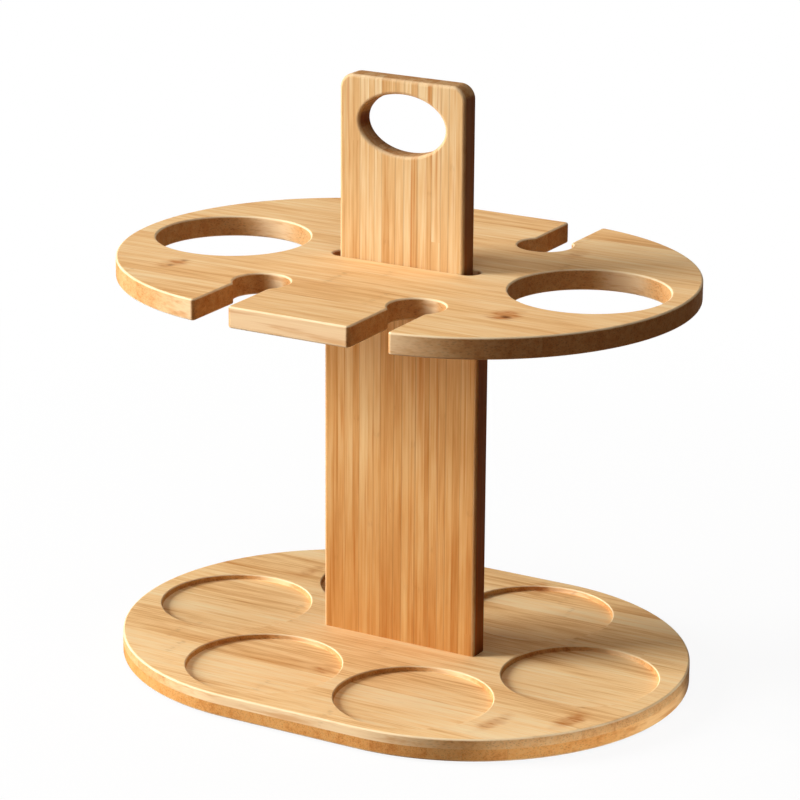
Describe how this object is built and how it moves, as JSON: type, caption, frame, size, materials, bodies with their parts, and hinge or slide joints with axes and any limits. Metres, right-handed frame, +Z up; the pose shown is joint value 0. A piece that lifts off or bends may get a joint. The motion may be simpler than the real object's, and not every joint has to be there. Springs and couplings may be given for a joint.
{
  "type": "wine bottle and glass caddy",
  "caption": "Bamboo caddy with a base board, a centre post ending in a carrying handle, and a lift-off top board with bottle holes and keyhole slots that hang stemmed glasses.",
  "frame": {"origin": "on the standing surface, under the middle of the base", "axes": "+X along the boards from one bottle place to the other, +Y towards the back pair of glasses, +Z up along the post"},
  "size_m": [0.32, 0.24, 0.3255],
  "materials": {
    "bamboo": "laminated bamboo strips, clear satin lacquer",
    "screw_steel": "zinc-plated",
    "foot_rubber": "matte"
  },
  "bodies": {
    "stand": {"base_board": "bamboo", "centre_post": "bamboo", "post_screw_left": "screw_steel", "post_screw_right": "screw_steel", "foot_pad_front_left": "foot_rubber", "foot_pad_front_right": "foot_rubber", "foot_pad_back_left": "foot_rubber", "foot_pad_back_right": "foot_rubber"},
    "top_shelf": {"top_board": "bamboo"}
  },
  "joints": [
    {"name": "top_board_lift", "type": "slide", "parent": "stand", "child": "top_shelf", "axis": [0, 0, 1], "range_m": [0, 0.12]}
  ]
}
